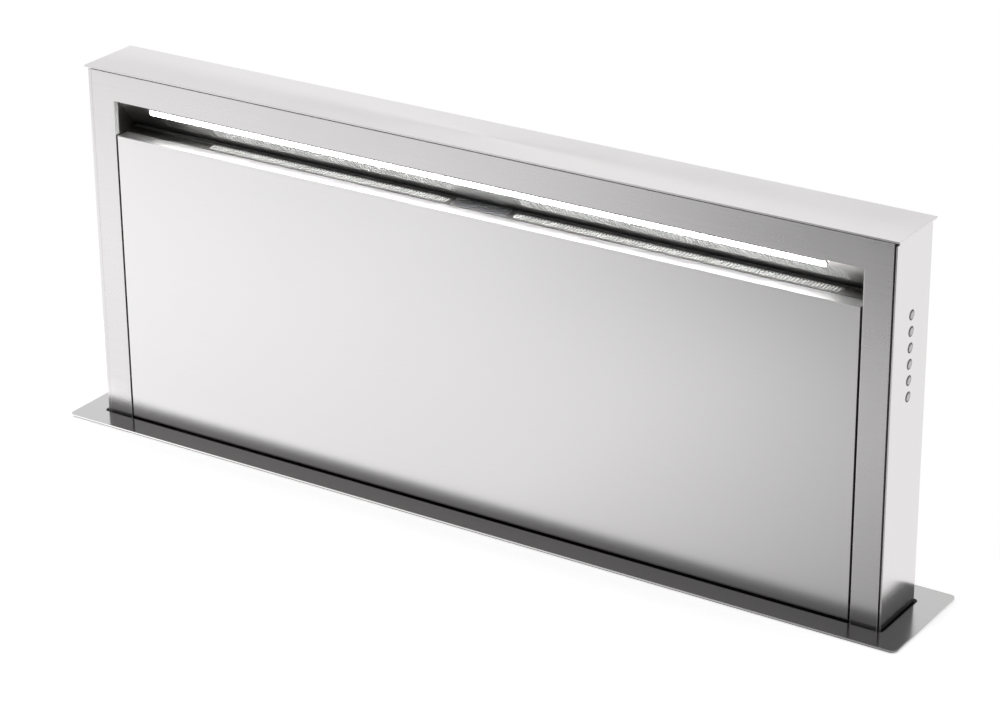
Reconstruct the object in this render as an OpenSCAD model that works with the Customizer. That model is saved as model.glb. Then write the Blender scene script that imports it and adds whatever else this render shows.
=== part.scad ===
/* [Worktop flange] */
// How far the flange reaches past each side of the riser
flange_side = 27; // [24:0.5:60]
// Depth of the flange from front to back
flange_d = 116; // [112:1:140]
// Sheet of the flange
flange_t = 1.5; // [1:0.1:2.5]
// Corner radius of the flange
flange_r = 5; // [2:0.5:12]
// Foam gasket under the flange
gasket_t = 1; // [0.6:0.1:2]
// Thickness of the worktop that the clamps grip
worktop_t = 38; // [20:1:50]
// Gap between the riser and the edge of the flange slot
slot_gap = 3.5; // [1.2:0.1:4]
// Corner radius of the flange slot
slot_r = 5; // [1:0.5:6]

/* [Riser] */
// Width of the riser
riser_w = 826; // [780:1:830]
// Depth of the riser
riser_d = 62.5; // [58:0.5:66]
// Height of the raised riser above the flange
riser_h = 347; // [300:1:360]
// Length of riser that stays below the flange
skirt_h = 75; // [60:1:90]
// Sheet of the riser
skin_t = 1.2; // [0.8:0.1:1.5]
// Lid plate on the riser
cap_t = 1.5; // [1:0.1:2.5]
// How far the lid plate overhangs the riser
cap_over = 2.5; // [2.2:0.1:4]
// Width of the two uprights beside the panel
stile_w = 28.5; // [26:0.5:40]
// Height of the band above the suction slot
header_h = 28.5; // [20:0.5:40]
// Height of the suction slot
slot_h = 33.5; // [30:0.5:40]
// Shadow gap between the front sheet and each side sheet
seam_gap = 2; // [0.3:0.1:3]
// Shadow gap between the front sheet and the lid plate
lid_gap = 1.8; // [0.3:0.1:2.5]

/* [Front panel] */
// Gap round the front panel
panel_gap = 2.2; // [0.8:0.1:2.6]
// Clearance of the panel above the flange
panel_foot = 1; // [0.6:0.1:3]
// Depth of the polished lip on top of the panel
lip_d = 14.5; // [12:0.5:14.5]
// Depth of the folded sides of the panel
panel_fold = 12; // [10:0.5:14]
// Diameter of the panel hinge pins
hinge_pin_d = 5; // [4:0.1:6]

/* [Suction slot] */
// Depth of the valley of the trough behind the front
valley_d = 31; // [28:0.5:34]
// Height of the valley above the top of the panel
valley_h = 2; // [1.5:0.5:8]
// Sheet of the trough
trough_t = 1; // [0.8:0.1:1.2]
// Gap between the left filter window and the left end of the slot
window_left_gap = 42; // [22.5:0.5:64.5]
// Right end of the left filter window, from the middle
window_left_in = 24; // [10:1:40]
// Left end of the right filter window, from the middle
window_right_in = 44; // [40:1:70]
// Gap between the right filter window and the right end of the slot
window_right_gap = 23.5; // [14.5:0.5:44.5]
// How far the lower filter windows lie left of the upper ones
window_shift = 6; // [0:0.5:8]
// Corner radius of the filter windows
window_r = 3.5; // [1:0.5:4]
// Distance between two slots of a filter
mesh_pitch = 6.6; // [5:0.1:12]
// Bar left between two slots of a filter
mesh_bar = 2.2; // [1:0.1:3]
// Thickness of a filter
filter_t = 1.5; // [1:0.1:2]

/* [Lamp] */
// Gap between the lamp and the left end of the slot
lamp_left_gap = 37; // [14.5:0.5:84.5]
// Gap between the lamp and the right end of the slot
lamp_right_gap = 38.5; // [14.5:0.5:84.5]
// Width of the lamp profile
lamp_w = 9.5; // [8.5:0.5:12]

/* [Buttons] */
// Number of buttons
button_count = 6; // [6:1:6]
// Diameter of a button
button_d = 8.6; // [6:0.1:10]
// Distance between two buttons
button_pitch = 14.5; // [13.5:0.5:18]
// First button below the top of the riser
button_top = 73; // [60:1:100]
// How far a button stands out at rest
button_out = 0.6; // [0.3:0.1:0.8]
// Travel of a button
button_travel = 1.2; // [0.5:0.1:1.2]

/* [Housing] */
// Room for a rail and a rack between each side of the riser and the outside of the housing
rail_room = 14; // [14:0.5:16]
// Depth of the housing
housing_d = 90; // [90:1:94]
// Depth of the housing below the worktop surface
housing_h = 470; // [468:1:560]
// Sheet of the housing
housing_t = 1.2; // [1:0.1:1.5]

/* [Lift drive] */
// Module of the rack and the pinions
gear_m = 1.5; // [1.5:0.1:1.5]
// Teeth of a pinion
pinion_teeth = 18; // [18:1:18]
// Face width of a pinion
pinion_w = 7.2; // [5:0.1:7.5]
// Diameter of the cross shaft
shaft_d = 6; // [5:0.1:8]
// Height of the worm gearbox
gearbox_h = 40; // [38:1:42]
// Diameter of the lift motor
lift_motor_d = 34; // [28:1:40]
// Length of the lift motor
lift_motor_l = 60; // [40:1:70]

/* [Fan] */
// Fan axis left of the middle
fan_x = 40; // [20:1:60]
// Fan axis below the worktop surface
fan_z = 300; // [290:1:310]
// Outer radius of the impeller
impeller_r = 88; // [80:1:90]
// Width of the impeller
impeller_w = 136; // [120:1:140]
// Number of impeller blades
blade_count = 32; // [20:1:40]
// Inner depth of the scroll casing
scroll_d = 158; // [156:1:170]
// Radius of the scroll where it starts
scroll_r0 = 100; // [98:1:104]
// Radius of the scroll where it ends
scroll_r1 = 155; // [150:1:158]
// Distance from the fan axis to the outlet
outlet_x = 205; // [190:1:210]
// Radius of the fan inlet
inlet_r = 68; // [60:1:70]
// Radius of the fan motor
fan_motor_r = 45; // [38:1:50]
// Diameter of the fan shaft
fan_shaft_d = 8; // [6:0.5:10]
// Outer diameter of the duct spigot
spigot_d = 149; // [140:1:150]
// Length of the duct spigot
spigot_l = 72; // [70:1:90]

/* [Control box] */
// Width of the control box
control_w = 180; // [150:1:190]
// Height of the control box
control_h = 140; // [110:1:150]
// Depth of the control box
control_d = 50; // [40:1:60]

/* [Hidden] */
$fn = 48;
eps = 0.01;

// Clearances between pieces
slide_gap = 0.4;
seat_gap = 0.3;
run_gap = 0.05;
stop_gap = 0.5;

// Heights of the main levels above the worktop surface
flange_top = gasket_t + flange_t;
riser_top = flange_top + riser_h;
slot_top = riser_top - header_h;
panel_top = slot_top - slot_h;
panel_low = flange_top + panel_foot;
riser_low = -skirt_h;
lift_travel = riser_h - stop_gap;

// Widths that follow the riser
flange_w = riser_w + 2 * flange_side;
housing_w = riser_w + 2 * rail_room;

// Half sizes and faces of the riser
riser_x = riser_w / 2;
riser_y = riser_d / 2;
open_x = riser_x - stile_w;
panel_x = open_x - panel_gap;
sill_z = flange_top - 3;
skin_y = -riser_y + skin_t;
side_fold = 13;
return_d = 12;
corner_notch = 3.5;

// Trough section: the upper face rises to the band, the lower face falls to the panel lip
valley_y = -riser_y + valley_d;
valley_z = panel_top + valley_h;
trough_top_d = 4;
trough_low_d = lip_d + 1;
upper_run = valley_d - trough_top_d;
upper_rise = slot_top + 1.5 - valley_z;
upper_l = norm([upper_run, upper_rise]);
upper_turn = 180 - atan2(upper_rise, upper_run);
lower_run = valley_d - trough_low_d;
lower_fall = valley_h - 0.1;
lower_l = norm([lower_run, lower_fall]);
lower_turn = 180 + atan2(lower_fall, lower_run);
trough_apron = 26;
upper_window = [10.5, 31];
lower_window = [5.5, 13.5];
window_rim = 3;

// Ends of the two filter windows and of the lamp
window_x = [[window_left_gap - open_x, -window_left_in], [window_right_in, open_x - window_right_gap]];
lamp_x = [lamp_left_gap - open_x, open_x - lamp_right_gap];

// Lamp seat on the upper face
lamp_far = upper_l - 3.5;
lamp_near = lamp_far - lamp_w;
lamp_foot = 0.5;
lamp_base = 0.9;
lamp_depth = 2.2;
lamp_lip = 1;
lamp_board_t = 0.8;
lamp_dome = 1.8;

// Panel hinge
hinge_y = -riser_y + 8;
hinge_z = panel_low + 8.5;
hinge_block_w = 6;
hinge_block_h = 18;
jamb_low = hinge_z + 12;

// Buttons
hole_gap = 0.3;
button_flange_d = button_d + 2.2;
button_flange_t = 2;
carrier_d = 12;
carrier_w = 18;
button_z0 = riser_top - button_top;

// Housing walls
house_x = housing_w / 2;
house_y = housing_d / 2;
house_in_x = house_x - housing_t;
house_in_y = house_y - housing_t;
seal_gap = 1.2;
seal_low = -12;

// Rails, racks and the cross shaft
rail_y = [-riser_y + 0.5, -12];
rail_t = 1.5;
rail_reach = riser_x + 2.8;
rail_top = seal_low - 4;
pinion_r = gear_m * pinion_teeth / 2;
pinion_tip = pinion_r + gear_m;
pinion_root = pinion_r - 1.25 * gear_m;
base_r = pinion_r * cos(20);
gear_play = 0.12;
shaft_y = 6;
shaft_z = riser_low - 22;
rack_y = shaft_y + pinion_r;
tooth_pitch = PI * gear_m;
rack_body = 6;
rack_above = 4;
rack_low_teeth = ceil((lift_travel + 14) / tooth_pitch);
beam_t = 2;
beam_w = 6;
return_low = riser_low + beam_t + 1;
shoe_l = 50;

// Fan places
fan_pos = [-fan_x, 0, -fan_z];
casing_t = 1.2;
inlet_ring_l = 12;
casing_back = -house_y - casing_t;
casing_front = casing_back - scroll_d;
outlet_low = scroll_r1 - scroll_d;
outlet_end = -fan_x - outlet_x;
spigot_pos = [outlet_end - 2, (casing_back + casing_front) / 2, -fan_z + (scroll_r1 + outlet_low) / 2];
impeller_front = casing_front + 7;
impeller_back = impeller_front + impeller_w;
hub_y = impeller_front + 56;
flap_r = spigot_d / 2 - 4.5;
flap_pin_r = 2;
flap_pin_x = spigot_pos[0] - 6;
motor_out = 32;
motor_flange_t = 3;
motor_flange_over = 17;
motor_bolt_over = 10;
motor_bolt_r = 2.2;
motor_bore_l = 28;
fin_start = 8;
fin = [4, 2, 22];

// Control box place
control_x = house_x - 57 - control_w;
control_z = -190;
box_t = 1.2;
board_in = [20, 45, 15];
board_lift = 8;
board_t = 1.6;
post_r = 3;
post_inset = 6;
transformer = [40, 20.4, 40];
relay = [20, 14.4, 25];

steel = [0.80, 0.80, 0.79];
zinc = [0.66, 0.67, 0.68];
dark = [0.16, 0.16, 0.17];
alu = [0.75, 0.76, 0.78];

// Offset of a bent sheet: the normal to the left of a run, a mitred corner and a square end
function left(p, q) = [p[1] - q[1], q[0] - p[0]] / norm(q - p);
function mitre(p, q, r, t) = q + t * (left(p, q) + left(q, r)) / (1 + left(p, q) * left(q, r));
function toward(p, q, l) = p + (q - p) * l / norm(q - p);

// Points of the trough section in depth and height
fold_top = [valley_y - upper_run, valley_z + upper_rise];
fold_valley = [valley_y, valley_z];
fold_low = [valley_y - lower_run, valley_z - lower_fall];
fold_apron = [valley_y - lower_run, valley_z - lower_fall - trough_apron];

function involute(a) = tan(a) - a * PI / 180;
function tooth_half(r) =
  90 / pinion_teeth + (involute(20) - involute(acos(base_r / r))) * 180 / PI - gear_play / pinion_r * 57.3;
function scroll_radius(a) = scroll_r0 + (scroll_r1 - scroll_r0) * a / 360;

// Box between two opposite corners
module block(low, high) {
  translate(low) cube(high - low);
}

module both_sides() {
  children();
  mirror([1, 0, 0]) children();
}

module four_corners() {
  both_sides() {
    children();
    mirror([0, 1, 0]) children();
  }
}

// Flat plate with round corners, centred on the origin
module round_rect(w, d, r) {
  square([w - 2 * r, d], center = true);
  square([w, d - 2 * r], center = true);
  for (x = [-1, 1], y = [-1, 1]) {
    translate([x * (w / 2 - r), y * (d / 2 - r)]) circle(r);
  }
}

// Rod along X, Y or Z from a start point
module rod_x(p, l, r) {
  translate(p) rotate([0, 90, 0]) cylinder(h = l, r = r);
}
module rod_y(p, l, r) {
  translate(p) rotate([-90, 0, 0]) cylinder(h = l, r = r);
}
module rod_z(p, l, r) {
  translate(p) cylinder(h = l, r = r);
}

module worktop_flange() {
  color(steel) translate([0, 0, gasket_t]) linear_extrude(flange_t) difference() {
    round_rect(flange_w, flange_d, flange_r);
    round_rect(riser_w + 2 * slot_gap, riser_d + 2 * slot_gap, slot_r);
  }
}

module flange_gasket() {
  color(dark) linear_extrude(gasket_t) difference() {
    round_rect(flange_w - 2, flange_d - 2, flange_r);
    square([housing_w + 2, housing_d + 2], center = true);
  }
}

module slot_seal() {
  seal_h = gasket_t - seal_low;
  color(dark) translate([0, 0, seal_low]) linear_extrude(seal_h) difference() {
    square([2 * house_in_x - 0.6, 2 * house_in_y - 0.6], center = true);
    square([riser_w + 2 * seal_gap, riser_d + 2 * seal_gap], center = true);
  }
}

module housing_front() {
  color(zinc) difference() {
    block([-house_x, -house_y, -housing_h], [house_x, -house_in_y, gasket_t]);
    rod_y([fan_pos[0], -house_y - 1, fan_pos[2]], housing_t + 2, inlet_r);
  }
}

module housing_back() {
  color(zinc) block([-house_x, house_in_y, -housing_h], [house_x, house_y, gasket_t]);
}

module housing_side() {
  block([house_in_x, -house_in_y, -housing_h], [house_x, house_in_y, gasket_t]);
}

module housing_left() {
  color(zinc) mirror([1, 0, 0]) housing_side();
}

module housing_right() {
  color(zinc) housing_side();
}

module housing_floor() {
  color(zinc) block([-house_x, -house_y, -housing_h - housing_t], [house_x, house_y, -housing_h]);
}

// Channels open towards the riser, with their webs on the housing walls
module guide_rails() {
  color(alu) both_sides() difference() {
    block([rail_reach, rail_y[0], -housing_h + 6], [house_in_x, rail_y[1], rail_top]);
    block([rail_reach - 1, rail_y[0] + rail_t, -housing_h], [house_in_x - rail_t, rail_y[1] - rail_t, 0]);
  }
}

// Straight racks, teeth towards the shaft, with a tooth gap level with the shaft at rest
module lift_racks() {
  root = rack_y + 1.25 * gear_m;
  tip_half = tooth_pitch / 4 - gear_play - gear_m * tan(20);
  root_half = tooth_pitch / 4 - gear_play + 1.25 * gear_m * tan(20);
  low = shaft_z - (rack_low_teeth + 0.5) * tooth_pitch;
  high = shaft_z + (rack_above + 0.5) * tooth_pitch;
  teeth = [for (k = [-rack_low_teeth : rack_above - 1]) let (z = shaft_z + (k + 0.5) * tooth_pitch)
    each [[root, z - root_half], [rack_y - gear_m, z - tip_half], [rack_y - gear_m, z + tip_half],
    [root, z + root_half]]];
  outline = concat([[root + rack_body, low], [root, low]], teeth, [[root, high], [root + rack_body, high]]);
  color(dark) both_sides() translate([rail_reach, 0, 0]) rotate([90, 0, 90])
    linear_extrude(house_in_x - rail_reach) polygon(outline);
}

clamp_x = house_x - 127;
clamp_w = 30;
clamp_t = 3;
clamp_reach = 24;
clamp_screw_r = 3;
clamp_leg_z = -worktop_t - 32;
clamp_screw_y = house_y + clamp_reach - 10;
clamp_tail = 20;
clamp_pad_t = 3;
clamp_pad_r = 9;
clamp_head_t = 4;
clamp_head_r = 5;

module clamp_brackets() {
  low = [clamp_x - clamp_w / 2, house_y, clamp_leg_z];
  color(zinc) four_corners() difference() {
    union() {
      block(low - [0, 0, clamp_w], low + [clamp_w, 2, clamp_t]);
      block(low, low + [clamp_w, clamp_reach, clamp_t]);
    }
    rod_z([clamp_x, clamp_screw_y, clamp_leg_z - 1], clamp_t + 2, clamp_screw_r);
  }
}

module clamp_screws() {
  pad_z = -worktop_t - clamp_pad_t;
  tail_z = clamp_leg_z - clamp_tail;
  color(alu) four_corners() {
    rod_z([clamp_x, clamp_screw_y, tail_z], pad_z - tail_z, clamp_screw_r);
    rod_z([clamp_x, clamp_screw_y, pad_z], clamp_pad_t, clamp_pad_r);
    rod_z([clamp_x, clamp_screw_y, tail_z - clamp_head_t], clamp_head_t, clamp_head_r);
  }
}

base_x = house_x - 47;
base_w = 40;
base_t = 2;
base_hole_y = 62;
base_hole_r = 2.75;

module base_brackets() {
  top = -housing_h - housing_t;
  color(zinc) both_sides() difference() {
    block([base_x - base_w / 2, -base_hole_y - 12, top - base_t],
      [base_x + base_w / 2, base_hole_y + 12, top]);
    for (y = [-1, 1]) {
      rod_z([base_x, y * base_hole_y, top - base_t - 1], base_t + 2, base_hole_r);
    }
  }
}

switch_x = 103 - riser_x;
switch_size = [20, 9, 28];
switch_key = [4, 1.5, 4];

module limit_switches() {
  color(dark) for (z = [riser_low, riser_low - lift_travel + 20]) {
    at = [switch_x, house_in_y - switch_size[1], z];
    block(at - [0, 0, switch_size[2] / 2], at + [switch_size[0], switch_size[1], switch_size[2] / 2]);
    block(at + [4, -switch_key[1], 2], at + [4 + switch_key[0], 0, 2 + switch_key[2]]);
  }
}

// Outline of the scroll, grown by g, with its outlet towards the left
module scroll_outline(g, overrun) {
  polygon([for (a = [0 : 7.5 : 360]) (scroll_radius(a) + g) * [-sin(a), cos(a)]]);
  translate([-outlet_x - overrun, outlet_low - g]) square([outlet_x + overrun, scroll_d + 2 * g]);
}

module at_fan(y) {
  translate([fan_pos[0], y, fan_pos[2]]) rotate([90, 0, 0]) children();
}

// Strip bent round the scroll
module scroll_casing() {
  color(zinc) at_fan(casing_back) linear_extrude(scroll_d) difference() {
    scroll_outline(casing_t, 0);
    scroll_outline(0, 1);
  }
}

// Side plate against the housing, with a drawn inlet ring
module scroll_plate() {
  color(zinc) at_fan(-house_y) {
    linear_extrude(casing_t) difference() {
      scroll_outline(casing_t, 0);
      circle(inlet_r);
    }
    linear_extrude(casing_t + inlet_ring_l) difference() {
      circle(inlet_r + casing_t);
      circle(inlet_r);
    }
  }
}

module scroll_cover() {
  color(zinc) at_fan(casing_front) linear_extrude(casing_t) difference() {
    scroll_outline(casing_t, 0);
    circle(fan_motor_r + seat_gap);
  }
}

module fan_motor() {
  motor_back = hub_y - 12;
  outer = casing_front - casing_t - motor_flange_t;
  color(dark) difference() {
    union() {
      rod_y([fan_pos[0], casing_front - motor_out, fan_pos[2]], motor_back - casing_front + motor_out,
        fan_motor_r);
      rod_y([fan_pos[0], outer, fan_pos[2]], motor_flange_t, fan_motor_r + motor_flange_over);
      for (a = [0 : 30 : 330]) {
        at_fan(casing_front - fin_start) rotate(a)
          translate([fan_motor_r - fin[0] / 4, -fin[1] / 2, 0]) cube(fin);
      }
    }
    rod_y([fan_pos[0], motor_back - motor_bore_l, fan_pos[2]], motor_bore_l + 2, fan_shaft_d / 2 + run_gap);
    for (a = [45 : 90 : 315]) {
      at_fan(casing_front) rotate(a) translate([fan_motor_r + motor_bolt_over, 0, -1])
        cylinder(h = casing_t + motor_flange_t + 4, r = motor_bolt_r);
    }
  }
}

module motor_shaft() {
  color(alu) rod_y([fan_pos[0], hub_y - 36, fan_pos[2]], 60, fan_shaft_d / 2);
}

// Wheel with straight canted blades between two rings and a hub disc
module impeller() {
  color(alu) difference() {
    union() {
      for (a = [0 : 360 / blade_count : 359]) {
        at_fan(impeller_back) rotate(a) translate([impeller_r - 15, 0, 0]) rotate(-28)
          translate([0, -0.6, 0]) cube([14.5, 1.2, impeller_w]);
      }
      for (y = [impeller_front, impeller_back - 3]) {
        difference() {
          rod_y([fan_pos[0], y, fan_pos[2]], 3, impeller_r);
          rod_y([fan_pos[0], y - 1, fan_pos[2]], 5, impeller_r - 15);
        }
      }
      rod_y([fan_pos[0], hub_y, fan_pos[2]], 3, impeller_r - 2);
      rod_y([fan_pos[0], hub_y, fan_pos[2]], 22, 13);
    }
    rod_y([fan_pos[0], hub_y - 1, fan_pos[2]], 24, fan_shaft_d / 2);
  }
}

module outlet_collar() {
  color(zinc) difference() {
    union() {
      block([spigot_pos[0], casing_front - casing_t, -fan_z + outlet_low - 6],
        [outlet_end, -house_y, -fan_z + scroll_r1 + 6]);
      rod_x([spigot_pos[0] - spigot_l, spigot_pos[1], spigot_pos[2]], spigot_l + eps, spigot_d / 2);
    }
    rod_x([spigot_pos[0] - spigot_l - 1, spigot_pos[1], spigot_pos[2]], spigot_l + 4, spigot_d / 2 - 1.5);
  }
}

module damper_pin() {
  l = spigot_d - 3.4;
  color(alu) rod_z([flap_pin_x, spigot_pos[1], spigot_pos[2] - l / 2], l, flap_pin_r);
}

// Half disc on two knuckles, standing towards +Y from the pin
module damper_flap(knuckles) {
  difference() {
    union() {
      intersection() {
        rod_x([-0.6, 0, 0], 1.2, flap_r);
        block([-1, flap_pin_r + 2.6, -flap_r], [1, flap_r, flap_r]);
      }
      for (z = knuckles) {
        rod_z([0, 0, z], 18, flap_pin_r + 1.4);
        block([-0.6, 0, z], [0.6, flap_pin_r + 3, z + 18]);
      }
    }
    rod_z([0, 0, -flap_r], 2 * flap_r, flap_pin_r + run_gap);
  }
}

module damper_flap_right() {
  color(alu) translate([flap_pin_x, spigot_pos[1], spigot_pos[2]]) damper_flap([-24, 36]);
}

module damper_flap_left() {
  color(alu) translate([flap_pin_x, spigot_pos[1], spigot_pos[2]]) mirror([0, 1, 0]) damper_flap([-54, 6]);
}

module control_box() {
  low = control_z - control_h;
  color(zinc) difference() {
    block([control_x, -house_y - control_d, low], [control_x + control_w, -house_y, control_z]);
    block([control_x + box_t, -house_y - control_d - 1, low + box_t],
      [control_x + control_w - box_t, -house_y - box_t, control_z - box_t]);
    rod_z([control_x + 40, -house_y - control_d / 2, low - 1], 4, 8);
  }
}

module control_cover() {
  front = -house_y - control_d;
  color(zinc) block([control_x, front - box_t, control_z - control_h],
    [control_x + control_w, front, control_z]);
}

// Board on four posts, with a transformer and a relay
module control_board() {
  back = -house_y - box_t;
  face = back - board_lift - board_t;
  low = [control_x + board_in[0], control_z - control_h + board_in[1]];
  high = [control_x + control_w - board_in[2], control_z - board_in[2]];
  color("darkgreen") {
    block([low[0], face, low[1]], [high[0], face + board_t, high[1]]);
    for (x = [low[0] + post_inset, high[0] - post_inset], z = [low[1] + post_inset, high[1] - post_inset]) {
      rod_y([x, back - board_lift, z], board_lift, post_r);
    }
    for (part = [[60, 70, transformer], [110, 60, relay]]) {
      at = [control_x + part[0], face - part[2][1], control_z - part[1]];
      block(at, at + part[2]);
    }
  }
}

module terminal_block() {
  y = -house_y - box_t;
  low = control_z - control_h;
  color("white") difference() {
    block([control_x + 70, y - 16, low + 12], [control_x + 130, y, low + 30]);
    for (k = [0 : 4]) {
      rod_y([control_x + 76 + k * 12, y - 17, low + 21], 9, 2.6);
    }
  }
}

module cable_gland() {
  low = control_z - control_h;
  at = [control_x + 40, -house_y - control_d / 2, 0];
  color(dark) difference() {
    union() {
      rod_z(at + [0, 0, low - 14], 14, 11);
      rod_z(at + [0, 0, low - 14 + 10], 20, 7.9);
      rod_z(at + [0, 0, low + 1.2], 5, 11);
    }
    rod_z(at + [0, 0, low - 16], 40, 4.5);
  }
}

// Front sheet with the opening for the slot and the panel, and folds behind its edges
module front_frame() {
  front_x = riser_x - skin_t - seam_gap;
  top = riser_top - lid_gap;
  color(steel) {
    difference() {
      block([-front_x, -riser_y, riser_low], [front_x, skin_y, top]);
      block([-open_x, -riser_y - 1, sill_z], [open_x, skin_y + 1, slot_top]);
    }
    block([-open_x, skin_y - eps, slot_top], [open_x, -riser_y + trough_top_d, slot_top + skin_t]);
    both_sides() block([front_x - skin_t, skin_y - eps, return_low], [front_x, skin_y + return_d, top]);
    both_sides() block([open_x, skin_y - eps, jamb_low],
      [open_x + skin_t, skin_y + return_d, panel_top - 1.5]);
    block([-open_x, skin_y - eps, sill_z - skin_t], [open_x, skin_y + 6, sill_z]);
  }
}

// Side sheet with a notched front corner and a welded strip that the front sheet's return rests on
module riser_side() {
  difference() {
    block([riser_x - skin_t, -riser_y, riser_low], [riser_x, riser_y, riser_top]);
    block([riser_x - skin_t - 1, -riser_y - 1, riser_top - corner_notch],
      [riser_x + 1, -riser_y + corner_notch, riser_top + 1]);
  }
  block([riser_x - side_fold, skin_y + return_d, return_low],
    [riser_x - skin_t + eps, skin_y + return_d + skin_t, riser_top - corner_notch]);
}

module riser_left_side() {
  color(steel) mirror([1, 0, 0]) riser_side();
}

module riser_right_side() {
  color(steel) difference() {
    riser_side();
    for (k = [0 : button_count - 1]) {
      rod_x([riser_x - skin_t - 1, 0, button_z0 - k * button_pitch], skin_t + 2, button_d / 2 + hole_gap);
    }
  }
}

module riser_back() {
  back_x = riser_x - skin_t;
  color(steel) block([-back_x, riser_y - skin_t, riser_low], [back_x, riser_y, riser_top]);
}

module top_cap() {
  tab_x = riser_x - skin_t - seat_gap;
  color(steel) {
    translate([0, 0, riser_top]) linear_extrude(cap_t)
      square([riser_w + 2 * cap_over, riser_d + 2 * cap_over], center = true);
    both_sides() block([tab_x - 1.5, -16, riser_top - 12], [tab_x, 24, riser_top + eps]);
  }
}

// Frames that lie on the two faces of the trough, Y up the face from the valley
module on_upper() {
  translate([0, valley_y, valley_z]) rotate([upper_turn, 0, 0]) children();
}
module on_lower() {
  translate([0, valley_y, valley_z]) rotate([lower_turn, 0, 0]) children();
}

// Window with round corners at its far edge only
module window(x, y) {
  r = window_r;
  translate([x[0] + r, y[0]]) square([x[1] - x[0] - 2 * r, y[1] - y[0]]);
  translate([x[0], y[0]]) square([x[1] - x[0], y[1] - y[0] - r]);
  for (at = [x[0] + r, x[1] - r]) {
    translate([at, y[1] - r]) circle(r);
  }
}

magnet_x = open_x - 54.5;
magnet_w = 20;

module along_width(x, l) {
  translate([x, 0, 0]) rotate([90, 0, 90]) linear_extrude(l) children();
}

module suction_trough() {
  end_y = -riser_y + skin_t;
  color(steel) difference() {
    union() {
      along_width(-open_x - eps, 2 * (open_x + eps)) polygon([
        fold_top, fold_valley, fold_low, fold_apron, fold_apron + [trough_t, 0],
        mitre(fold_valley, fold_low, fold_apron, trough_t), mitre(fold_top, fold_valley, fold_low, trough_t),
        fold_top + trough_t * left(fold_top, fold_valley)]);
      both_sides() along_width(open_x, 1) polygon([
        [end_y, panel_top - 1], [end_y, slot_top + skin_t], [fold_top[0] + 2, fold_top[1] + 2],
        [valley_y + 2.5, valley_z], [fold_low[0] + 2.5, panel_top - 1]]);
    }
    on_upper() for (x = window_x) {
      translate([0, 0, -trough_t - 1]) linear_extrude(trough_t + 2) window(x, upper_window);
    }
    on_lower() for (x = window_x) {
      translate([-window_shift, 0, -1]) linear_extrude(trough_t + 2) window(x, lower_window);
    }
    both_sides() block([magnet_x - 0.2, fold_low[0] - 1, panel_top - 12.2],
      [magnet_x + magnet_w + 0.2, fold_low[0] + 3, panel_top - 4.8]);
  }
}

// Slots between the upright bars of one filter leaf
module filter_slots(x, y) {
  count = floor((x[1] - x[0] - mesh_bar) / mesh_pitch);
  start = (x[0] + x[1] - count * mesh_pitch + mesh_bar) / 2;
  for (k = [0 : count - 1]) {
    translate([start + k * mesh_pitch, y[0] + 0.5]) square([mesh_pitch - mesh_bar, y[1] - y[0] - 1]);
  }
}

// Filter bent over the back of the trough, one leaf behind each row of windows
module filter(x) {
  near = trough_t + seat_gap;
  far = near + filter_t;
  top = toward(fold_valley, fold_top, upper_window[1] + window_rim);
  low = toward(fold_valley, fold_low, lower_l - trough_t - 2 * seat_gap);
  difference() {
    along_width(x[0] - window_shift - window_rim, x[1] - x[0] + window_shift + 2 * window_rim) polygon([
      top + near * left(top, fold_valley), mitre(top, fold_valley, low, near),
      low + near * left(fold_valley, low), low + far * left(fold_valley, low),
      mitre(top, fold_valley, low, far), top + far * left(top, fold_valley)]);
    on_upper() translate([0, 0, -far - 1]) linear_extrude(filter_t + 2) filter_slots(x, upper_window);
    on_lower() translate([-window_shift, 0, near - 1]) linear_extrude(filter_t + 2)
      filter_slots(x, lower_window);
  }
}

module filter_left() {
  color(alu) filter(window_x[0]);
}

module filter_right() {
  color(alu) filter(window_x[1]);
}

module led_channel() {
  color(alu) on_upper() {
    block([lamp_x[0], lamp_near, lamp_foot], [lamp_x[1], lamp_far, lamp_foot + lamp_base]);
    for (y = [lamp_near, lamp_far - lamp_lip]) {
      block([lamp_x[0], y, lamp_foot], [lamp_x[1], y + lamp_lip, lamp_foot + lamp_depth]);
    }
    if (window_x[0][0] - 2 > lamp_x[0]) {
      block([lamp_x[0], lamp_near, 0], [window_x[0][0] - 2, lamp_far, lamp_foot + eps]);
    }
    block([-window_left_in + 2, lamp_near, 0], [window_right_in - 2, lamp_far, lamp_foot + eps]);
  }
}

module led_board() {
  low = lamp_foot + lamp_base;
  color("white") on_upper() block([lamp_x[0] + 1, lamp_near + lamp_lip + 0.1, low],
    [lamp_x[1] - 1, lamp_far - lamp_lip - 0.1, low + lamp_board_t]);
}

// Domed cover, its flanks level with the lips of the channel
module led_diffuser() {
  low = lamp_foot + lamp_base + lamp_board_t;
  w = lamp_w - 2 * lamp_lip - 0.2;
  top = lamp_foot + lamp_depth + lamp_dome;
  dome_r = (w * w / 4 + lamp_dome * lamp_dome) / (2 * lamp_dome);
  color("white") on_upper() along_width(lamp_x[0] + 1, lamp_x[1] - lamp_x[0] - 2) {
    intersection() {
      translate([(lamp_near + lamp_far) / 2, top - dome_r]) circle(dome_r, $fn = 96);
      translate([lamp_near + lamp_lip + 0.1, low]) square([w, top - low]);
    }
  }
}

carrier_x = riser_x - skin_t - carrier_d;
carrier_z = [button_z0 - (button_count - 1) * button_pitch - 10, button_z0 + 10];

module button_carrier() {
  color(dark) difference() {
    block([carrier_x, -carrier_w / 2, carrier_z[0]], [carrier_x + carrier_d, carrier_w / 2, carrier_z[1]]);
    for (k = [0 : button_count - 1]) {
      rod_x([carrier_x - 1, 0, button_z0 - k * button_pitch], carrier_d + 2, button_flange_d / 2 + hole_gap);
    }
  }
}

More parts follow.
